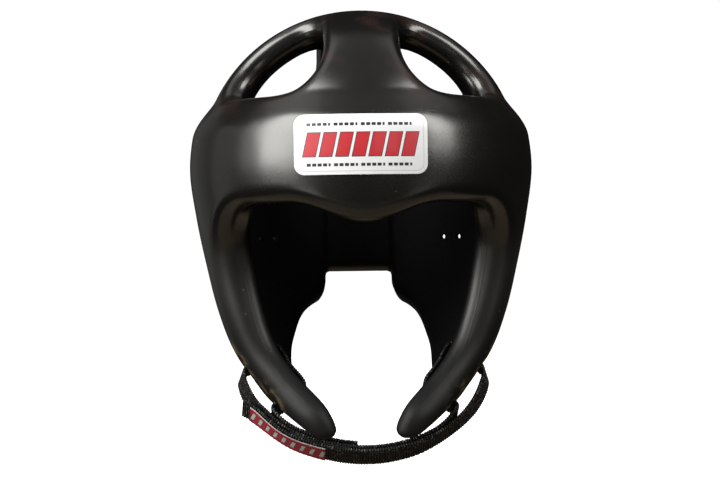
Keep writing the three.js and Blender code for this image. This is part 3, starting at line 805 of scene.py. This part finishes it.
def thread(name, lines):
    """Sewing thread in short stitches along lines, each with its ends as places along and across a strap."""
    sides, radius = STITCH["sides"], STITCH["radius"]
    t = np.linspace(0, 1, STITCH["rings"])
    arch = np.sin(math.pi * t)
    turn = np.linspace(0, 2 * math.pi, sides, endpoint=False)
    rings = []
    for course, begin, end, lift in lines:
        begin, end = np.array(begin), np.array(end)
        span = np.linalg.norm(end - begin)
        count = max(round(span / STITCH["pitch"]), 1)
        share = (np.arange(count)[:, None] + t * (1 - STITCH["gap"] / STITCH["pitch"])) / count
        spots = begin + (end - begin) * share[..., None]
        middle, across, out = (part.reshape(*share.shape, 3) for part in course.at(spots[..., 0].ravel()))
        rise = lift + radius * (STITCH["rise"] * arch - STITCH["sunk"])
        centre = middle + across * spots[..., 1:] + out * rise[:, None]
        along = centre[:, -1:] - centre[:, :1]
        beside = np.cross(out, along)
        beside /= np.linalg.norm(beside, axis=2, keepdims=True)
        around = np.cos(turn)[:, None] * beside[:, :, None] + np.sin(turn)[:, None] * out[:, :, None]
        thickness = radius * (STITCH["thin_end"] + (1 - STITCH["thin_end"]) * arch)
        rings.append(centre[:, :, None] + around * thickness[:, None, None])
    rings = np.concatenate(rings)
    index = np.arange(rings.size // 3).reshape(rings.shape[:3])
    ahead = np.roll(index, -1, axis=2)
    walls = np.stack([index[:, :-1], ahead[:, :-1], ahead[:, 1:], index[:, 1:]], axis=3).reshape(-1, 4)
    faces = [*walls.tolist(), *index[:, 0, ::-1].tolist(), *index[:, -1].tolist()]
    mesh = bpy.data.meshes.new(name)
    mesh.from_pydata(rings.reshape(-1, 3).tolist(), [], faces)
    piece = new_piece(name, mesh)
    editing(piece)
    bpy.ops.mesh.normals_make_consistent(inside=False)
    done_editing()
    only(piece)
    bpy.ops.object.shade_smooth()
    return piece


# Materials.
class Shade:
    """A socket of a material's nodes. Sums and products of shades add Math nodes."""

    def __init__(self, tree, socket=None):
        self.tree = tree
        self.socket = socket

    def node(self, kind, settings=None, output=0, **sockets):
        """Adds a node, sets it, feeds its sockets, and gives one of its outputs."""
        node = self.tree.nodes.new("ShaderNode" + kind)
        for name, value in (settings or {}).items():
            setattr(node, name, value)
        for name, value in sockets.items():
            key = int(name[1:]) if name[1:].isdigit() else name.replace("_", " ")
            if isinstance(value, Shade):
                self.tree.links.new(value.socket, node.inputs[key])
            else:
                node.inputs[key].default_value = value
        return Shade(self.tree, node.outputs[output]) if node.outputs else None

    def maths(self, operation, *values):
        named = {f"i{n}": value for n, value in enumerate(values)}
        return self.node("Math", {"operation": operation}, **named)

    def __add__(self, other):
        return self.maths("ADD", self, other)

    def __radd__(self, other):
        return self.maths("ADD", other, self)

    def __sub__(self, other):
        return self.maths("SUBTRACT", self, other)

    def __rsub__(self, other):
        return self.maths("SUBTRACT", other, self)

    def __mul__(self, other):
        return self.maths("MULTIPLY", self, other)

    def __truediv__(self, other):
        return self.maths("DIVIDE", self, other)

    def __abs__(self):
        return self.maths("ABSOLUTE", self)

    def at_least(self, other):
        return self.maths("MAXIMUM", self, other)

    def at_most(self, other):
        return self.maths("MINIMUM", self, other)

    def squared(self):
        return self.maths("MULTIPLY", self, self)

    def root(self):
        return self.maths("SQRT", self)

    def fade(self, from_value, to_value):
        """0 at one value and 1 at another, smooth between them and flat beyond."""
        sockets = {"Value": self, "From_Min": from_value, "From_Max": to_value}
        return self.node("MapRange", {"interpolation_type": "SMOOTHSTEP"}, **sockets)

    def __lt__(self, other):
        return self.maths("LESS_THAN", self, other)

    def __gt__(self, other):
        return self.maths("GREATER_THAN", self, other)

    def mix(self, low, high):
        """A colour between two, by this shade."""
        named = {"Factor": self, "i6": low, "i7": high}
        return self.node("Mix", {"data_type": "RGBA"}, output=2, **named)

    def parts(self):
        """The X, Y and Z of a vector."""
        split = self.node("SeparateXYZ", i0=self).socket.node
        return [Shade(self.tree, output) for output in split.outputs]


def new_finish(name):
    """A material with an empty shader, and the start of its shades."""
    material = bpy.data.materials.new(name)
    material.use_nodes = True
    material.node_tree.nodes.clear()
    return material, Shade(material.node_tree)


def noise(shade, place, scale, detail):
    """An uneven pattern from 0 to 1."""
    return shade.node("TexNoise", output="Fac", Vector=place, Scale=scale, Detail=detail)


def finished(shade, normal, colour, roughness, **constants):
    """Ends a material in one surface shader with its colour, roughness, normal and constant values."""
    surface = shade.node("BsdfPrincipled", i0=colour, Roughness=roughness, Normal=normal, **constants)
    shade.node("OutputMaterial", Surface=surface)


def foam_skin():
    """Black moulded skin with a satin gloss, a matt lining inside, painted shade down the arms, and bare foam
    at the slots.
    """
    material, shade = new_finish("foam_skin")
    place = shade.node("TexCoord", output="Object")
    x, y, z = place.parts()
    from_hollow, from_slot, _ = shade.node("Attribute", {"attribute_name": "wall"}, output="Vector").parts()
    cloud = noise(shade, place, scale=19.0, detail=4.0)
    grain = noise(shade, place, scale=700.0, detail=1.0)
    waves = noise(shade, place, scale=48.0, detail=1.5)
    stain = noise(shade, place, scale=34.0, detail=2.0)
    worn = noise(shade, place, scale=140.0, detail=3.0)
    dust = shade.node("TexVoronoi", output="Distance", Vector=place, Scale=95.0)

    inside = from_hollow.fade(*FOAM_FADES["inside"])
    bare = from_slot.fade(*FOAM_FADES["slot_wall"]) * from_hollow.fade(*FOAM_FADES["past_lining"])
    around_slot = from_slot.fade(*FOAM_FADES["near_slot"]) * from_hollow.fade(*FOAM_FADES["near_outside"])
    scuff = around_slot * worn.fade(*FOAM_FADES["worn"])
    speck = (dust < FOAM_SPECK["size"]) * (cloud > FOAM_SPECK["cloud"]) * (1 - inside)
    stained = stain.fade(*FOAM_FADES["stain"]) * z.fade(*FOAM_FADES["crown"])
    tan = (bare * (FOAM_BARE["least"] + grain * FOAM_BARE["grain"])).at_least(scuff * FOAM_BARE["scuff"])
    plain = cloud.mix(FOAM_COLOURS["dark"], FOAM_COLOURS["light"])
    outside = stained.mix(plain, FOAM_COLOURS["stain"])
    dusty = (speck * FOAM_SPECK["strength"]).mix(outside, FOAM_COLOURS["dust"])
    colour = tan.mix(dusty, FOAM_COLOURS["bare"])

    cheek = z.fade(*FOAM_FADES["cheek"]) * FOAM_ROUGHNESS["cheek"]
    handled = cheek + z.fade(*FOAM_FADES["arm"]) * FOAM_ROUGHNESS["arm"]
    uneven = FOAM_ROUGHNESS["least"] + cloud * FOAM_ROUGHNESS["cloud"] + grain * FOAM_ROUGHNESS["grain"]
    roughness = uneven + handled + bare * FOAM_ROUGHNESS["bare"]
    seam = abs(from_hollow - PARTING["depth"]).fade(PARTING["half_width"], 0)
    creased = creases(shade, place, x, z) * y.fade(*FOAM_FADES["brow"])
    raised = waves * FOAM_RELIEF["waves"] + grain * FOAM_RELIEF["grain"] + seam * FOAM_RELIEF["seam"]
    relief = raised - creased * FOAM_RELIEF["crease"]
    bump = shade.node("Bump", Strength=0.3, Distance=0.6 * MM, Height=relief)

    glossy = shade.node(
        "BsdfPrincipled",
        i0=colour,
        Roughness=roughness,
        Normal=bump,
        Specular_IOR_Level=FOAM_SPECULAR,
        Specular_Tint=FOAM_COLOURS["sheen"],
    )
    lining = shade.node(
        "BsdfPrincipled",
        i0=FOAM_COLOURS["lining"],
        Roughness=LINING["roughness"] + grain * LINING["grain"],
        Normal=bump,
        Specular_IOR_Level=LINING["specular"],
    )
    # Painted shade: besides lining the inside, the near-black matt lining is mixed over the lower arms to dim
    # their highlights.
    lining_and_arm_shade = inside.at_least(z.fade(*FOAM_FADES["painted_arm_shade"]) * (1 - scuff) * LINING["arm_shade_share"])
    shade.node("OutputMaterial", Surface=shade.node("MixShader", i0=lining_and_arm_shade, i1=glossy, i2=lining))
    return material


def creases(shade, place, x, z):
    """Fine irregular creases in the skin above the label's corners."""
    drawn_out = shade.node("Mapping", Vector=place, Scale=CREASE["scale"])
    folds = noise(shade, drawn_out, scale=1.0, detail=2.0)
    line = shade.maths("POWER", 1 - abs(folds * 2 - 1), CREASE["sharpness"])
    near = []
    for at_x, at_z in CREASE["places"]:
        beside = ((x - at_x) / CREASE["half_wide"]).squared()
        above = ((z - at_z) / CREASE["half_high"]).squared()
        near.append((beside + above).fade(1, 0))
    return line * near[0].at_least(near[1])


def label_print():
    """White film with a thin border and a plain row of slanted blocks between two dashed lines."""
    material, shade = new_finish("label_print")
    place = shade.node("TexCoord", output="Object")
    x, _, z = place.parts()
    right, up = x - LABEL["x"], z - LABEL["z"]
    smudge = noise(shade, place, scale=60.0, detail=4.0)
    weave = noise(shade, place, scale=1400.0, detail=1.0)
    past_x = abs(right) - (LABEL["half_width"] - LABEL["corner"])
    past_z = abs(up) - (LABEL["half_height"] - LABEL["corner"])
    corner = (past_x.at_least(0).squared() + past_z.at_least(0).squared()).root()
    inset = LABEL["corner"] - corner - past_x.at_least(past_z).at_most(0)
    border = abs(inset - PRINT["border_inset"]) < PRINT["border_half"]

    slant = right - up * PRINT["slant"]
    across = shade.maths("FLOORED_MODULO", slant + PRINT["block_pitch"] / 2, PRINT["block_pitch"])
    from_middle = abs(across - PRINT["block_pitch"] / 2)
    in_row = abs(slant) < PRINT["block_pitch"] * PRINT["blocks"] / 2
    edge = (from_middle - PRINT["block_half"]).at_least(abs(up) - PRINT["block_half_height"])
    block = (edge < 0) * in_row
    outline = (edge < PRINT["outline"]) * in_row
    from_end = right + PRINT["dash_half_row"]
    dash = shade.maths("FLOORED_MODULO", from_end, PRINT["dash_pitch"]) < PRINT["dash"]
    group = shade.maths("FLOORED_MODULO", from_end, PRINT["group_pitch"]) < PRINT["group"]
    on_line = abs(abs(up) - PRINT["line_up"]) < PRINT["line_half"]
    dashes = dash * group * on_line * (abs(right) < PRINT["dash_half_row"])

    film = smudge.mix(FILM_COLOURS["film"], FILM_COLOURS["smudge"])
    bordered = (border * FILM_BORDER_SHARE).mix(film, FILM_COLOURS["border"])
    lined = outline.at_least(dashes).mix(bordered, FILM_COLOURS["ink"])
    printed = block.mix(lined, FILM_COLOURS["block"])
    roughness = FILM_ROUGHNESS["least"] + smudge * FILM_ROUGHNESS["smudge"] + block * FILM_ROUGHNESS["block"]
    uneven = smudge * FILM_RELIEF["smudge"] + weave * FILM_RELIEF["weave"]
    relief = uneven + outline * FILM_RELIEF["ink"] + dashes * FILM_RELIEF["ink"]
    bump = shade.node("Bump", Strength=0.3, Distance=0.2 * MM, Height=relief)
    finished(shade, bump, printed, roughness, Coat_Weight=0.15)
    return material


def woven(shade, along, wide, rib_pitch, yarn_pitch):
    """The over and under of a plain weave, 0 to 1, from a strap's map."""
    odd = shade.maths("FLOORED_MODULO", shade.maths("FLOOR", along / rib_pitch), 2.0)
    return shade.maths("SINE", wide * (2 * math.pi / yarn_pitch) + odd * math.pi) * 0.5 + 0.5


def black_webbing():
    """Black ribbed webbing with stray fibres, with painted shade between its ribs and painted glints on their
    crests.
    """
    material, shade = new_finish("black_webbing")
    weave = shade.node("UVMap", {"uv_map": "weave"})
    along, wide, _ = weave.parts()
    place = shade.node("TexCoord", output="Object")
    yarn = woven(shade, along, wide, RIB_PITCH, YARN_PITCH)
    rib = shade.maths("COSINE", along * (2 * math.pi / RIB_PITCH)) * 0.5 + 0.5
    fibre = noise(shade, place, scale=2400.0, detail=3.0)
    wear = noise(shade, place, scale=150.0, detail=3.0)
    tuft = noise(shade, place, scale=620.0, detail=2.0)
    # Painted highlights: glints of fibre and tuft noise, in a lighter colour on the rib crests.
    stray = fibre.fade(*WEBBING_PAINTED_GLINT["fibre"]) * WEBBING_PAINTED_GLINT["fibre_share"]
    painted_glint = (stray + tuft.fade(*WEBBING_PAINTED_GLINT["tuft"])) * rib
    light, rough = WEBBING_LIGHTNESS, WEBBING_ROUGHNESS
    # Painted shade: darker towards each valley between the ribs, over the yarn's and the wear's own tone.
    tone_and_rib_shade = rib * rib * (light["least"] + yarn * light["yarn"] + wear * light["wear"])
    colour = tone_and_rib_shade.mix(WEBBING_COLOURS["valley"], WEBBING_COLOURS["yarn"])
    glint_speckled_colour = (painted_glint * WEBBING_PAINTED_GLINT["strength"]).mix(colour, WEBBING_COLOURS["painted_glint"])
    roughness = rough["most"] - yarn * rough["yarn"] + fibre * rough["fibre"]
    bump = shade.node("Bump", Strength=0.9, Distance=0.25 * MM, Height=yarn + fibre * WEBBING_FIBRE_RELIEF)
    finished(shade, bump, glint_speckled_colour, roughness, Specular_IOR_Level=0.18)
    return material


def closing_pile():
    """The short black pile of the closing tape."""
    material, shade = new_finish("closing_pile")
    place = shade.node("TexCoord", output="Object")
    pile = noise(shade, place, scale=1800.0, detail=4.0)
    bump = shade.node("Bump", Strength=1.0, Distance=0.4 * MM, Height=pile)
    roughness = PILE_ROUGHNESS["least"] + pile * PILE_ROUGHNESS["pile"]
    finished(shade, bump, pile.mix(*PILE_COLOURS), roughness)
    return material


def sewing_thread(name, dark, light):
    """Twisted thread."""
    material, shade = new_finish(name)
    place = shade.node("TexCoord", output="Object")
    twist = noise(shade, place, scale=1500.0, detail=2.0)
    bump = shade.node("Bump", Strength=0.5, Distance=0.1 * MM, Height=twist)
    roughness = THREAD_ROUGHNESS["least"] + twist * THREAD_ROUGHNESS["twist"]
    finished(shade, bump, twist.mix(dark, light), roughness)
    return material


def woven_label():
    """Red woven tape with pale edges and a plain row of pale slanted bars with dark edges."""
    material, shade = new_finish("woven_label")
    weave = shade.node("UVMap", {"uv_map": "weave"})
    along, wide, _ = weave.parts()
    place = shade.node("TexCoord", output="Object")
    yarn = woven(shade, along, wide, LABEL_RIB_PITCH, LABEL_YARN_PITCH)
    fuzz = noise(shade, place, scale=2200.0, detail=3.0)
    slant = along + wide * BARS["slant"]
    across = abs(shade.maths("FLOORED_MODULO", slant, BARS["pitch"]) - BARS["pitch"] / 2)
    edge = (across - BARS["half"]).at_least(abs(wide) - BARS["half_height"])
    border = abs(wide) > BARS["border"]
    ground, pale = (
        (yarn * tone["yarn"] + fuzz * tone["fuzz"]).mix(*tone["colours"])
        for tone in (WOVEN_GROUND, WOVEN_PALE)
    )
    dark = (edge < BARS["outline"]).mix(ground, WOVEN_OUTLINE_COLOUR)
    colour = (edge < 0).at_least(border).mix(dark, pale)
    bump = shade.node("Bump", Strength=0.7, Distance=0.12 * MM, Height=yarn + fuzz * WOVEN_FUZZ_RELIEF)
    finished(shade, bump, colour, WOVEN_ROUGHNESS["least"] + fuzz * WOVEN_ROUGHNESS["fuzz"])
    return material


# The studio.
def camera():
    """Sets up the camera at the viewing angle."""
    across, ahead = math.cos(VIEW_TURN), math.sin(VIEW_TURN)
    place = (
        VIEW_DISTANCE * ahead + VIEW_SIDESTEP * across,
        -VIEW_DISTANCE * across + VIEW_SIDESTEP * ahead,
        VIEW_HEIGHT,
    )
    bpy.ops.object.camera_add(location=place)
    view = bpy.context.object
    view.name = "front_view"
    turn = Euler((math.pi / 2, 0, VIEW_TURN)).to_matrix() @ Matrix.Rotation(VIEW_ROLL, 3, "Z")
    view.rotation_euler = turn.to_euler()
    view.data.sensor_width = SENSOR_WIDTH
    view.data.lens = SENSOR_WIDTH * VIEW_DISTANCE / (PHOTO_WIDTH * PIXEL)
    bpy.context.scene.camera = view


def softbox(name, azimuth, elevation, distance, size, brightness, colour=WHITE[:3]):
    """An even rectangle of light that faces the guard, out of the camera's sight."""
    turn, rise = math.radians(azimuth), math.radians(elevation)
    towards = Vector((math.sin(turn) * math.cos(rise), -math.cos(turn) * math.cos(rise), math.sin(rise)))
    bpy.ops.object.light_add(type="AREA", location=Vector(GUARD_MIDDLE) + towards * distance)
    light = bpy.context.object
    light.name = name
    light.rotation_euler = (-towards).to_track_quat("-Z", "Y").to_euler()
    light.visible_camera = False
    light.data.shape = "RECTANGLE"
    light.data.size, light.data.size_y = size
    light.data.energy = brightness * math.pi * size[0] * size[1]
    light.data.color = colour


def studio():
    """A pale floor under plain soft light."""
    bpy.ops.mesh.primitive_plane_add(size=FLOOR["size"], location=(0, 0, cad_box[0].z - FLOOR["gap"]))
    floor = bpy.context.object
    floor.name = "studio_floor"
    floor.visible_glossy = False
    floor.visible_diffuse = False
    floor.visible_shadow = False
    material, shade = new_finish("pale_floor")
    surface = shade.node(
        "BsdfPrincipled",
        i0=FLOOR["colour"],
        Roughness=FLOOR["roughness"],
        Emission_Color=WHITE,
        Emission_Strength=FLOOR["glow"],
    )
    shade.node("OutputMaterial", Surface=surface)
    floor.data.materials.append(material)

    for light in SOFTBOXES:
        softbox(*light)

    world = bpy.data.worlds.new("white_room")
    world.use_nodes = True
    world.node_tree.nodes.clear()
    bpy.context.scene.world = world
    shade = Shade(world.node_tree)
    room = shade.node("Background", Color=ROOM_COLOUR)
    white = shade.node("Background", Color=WHITE, Strength=BACKDROP_STRENGTH)
    seen = shade.node("LightPath", output="Is Camera Ray")
    shade.node("OutputWorld", Surface=shade.node("MixShader", i0=seen, i1=room, i2=white))
    bpy.context.scene.view_settings.view_transform = "Standard"


def dress(piece, material):
    """Rides a piece on the guard with its finish."""
    piece.data.materials.clear()
    piece.data.materials.append(material)
    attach(piece, "root")


def stand_in(piece, node, material):
    """Rides a finished piece on the guard in place of its CAD node."""
    dress(piece, material)
    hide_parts(node)


camera()
studio()

shell = foam_shell()
stand_in(shell, "shell", foam_skin())

stand_in(brow_label(shell), "front_label", label_print())

webbing_finish = black_webbing()
chin, loop = Course("chin_strap"), Course("loop_strap")
sewn_end = chin.length + SEWN_END_REACH
chin_webbing = woven_strap("chin_webbing", chin, WEBBING, RIB_PITCH, RIB_DEPTH, end=sewn_end)
stand_in(chin_webbing, "chin_strap", webbing_finish)
loop_webbing = woven_strap("loop_webbing", loop, WEBBING, RIB_PITCH, RIB_DEPTH)
stand_in(loop_webbing, "loop_strap", webbing_finish)

tape_ends = sorted(loop.where(x, last=True) for x in TAPE_ENDS_X)
tape_lift = (WEBBING["thickness"] + LAYER_GAP) / 2
tape = woven_strap("closing_tape", loop, TAPE, RIB_PITCH, 0, *tape_ends, tape_lift)
dress(tape, closing_pile())

label_course = Course("strap_label")
strap_label = woven_strap("woven_strap_label", label_course, STRAP_LABEL, LABEL_RIB_PITCH, LABEL_RIB_DEPTH)
stand_in(strap_label, "strap_label", woven_label())

seams = [*seam_box(chin, CHIN_SEAM_X), *seam_box(chin, CHIN_SEAM_X, last=True), *seam_box(loop, LOOP_SEAM_X)]
dress(thread("strap_stitching", seams), sewing_thread("black_thread", *BLACK_THREAD))
label_seam = sewn_box(
    label_course,
    LABEL_SEAM_INSET,
    label_course.length - LABEL_SEAM_INSET,
    STRAP_LABEL["width"] / 2 - LABEL_SEAM_INSET,
    STRAP_LABEL["thickness"] / 2,
)
dress(thread("label_stitching", label_seam), sewing_thread("red_thread", *RED_THREAD))
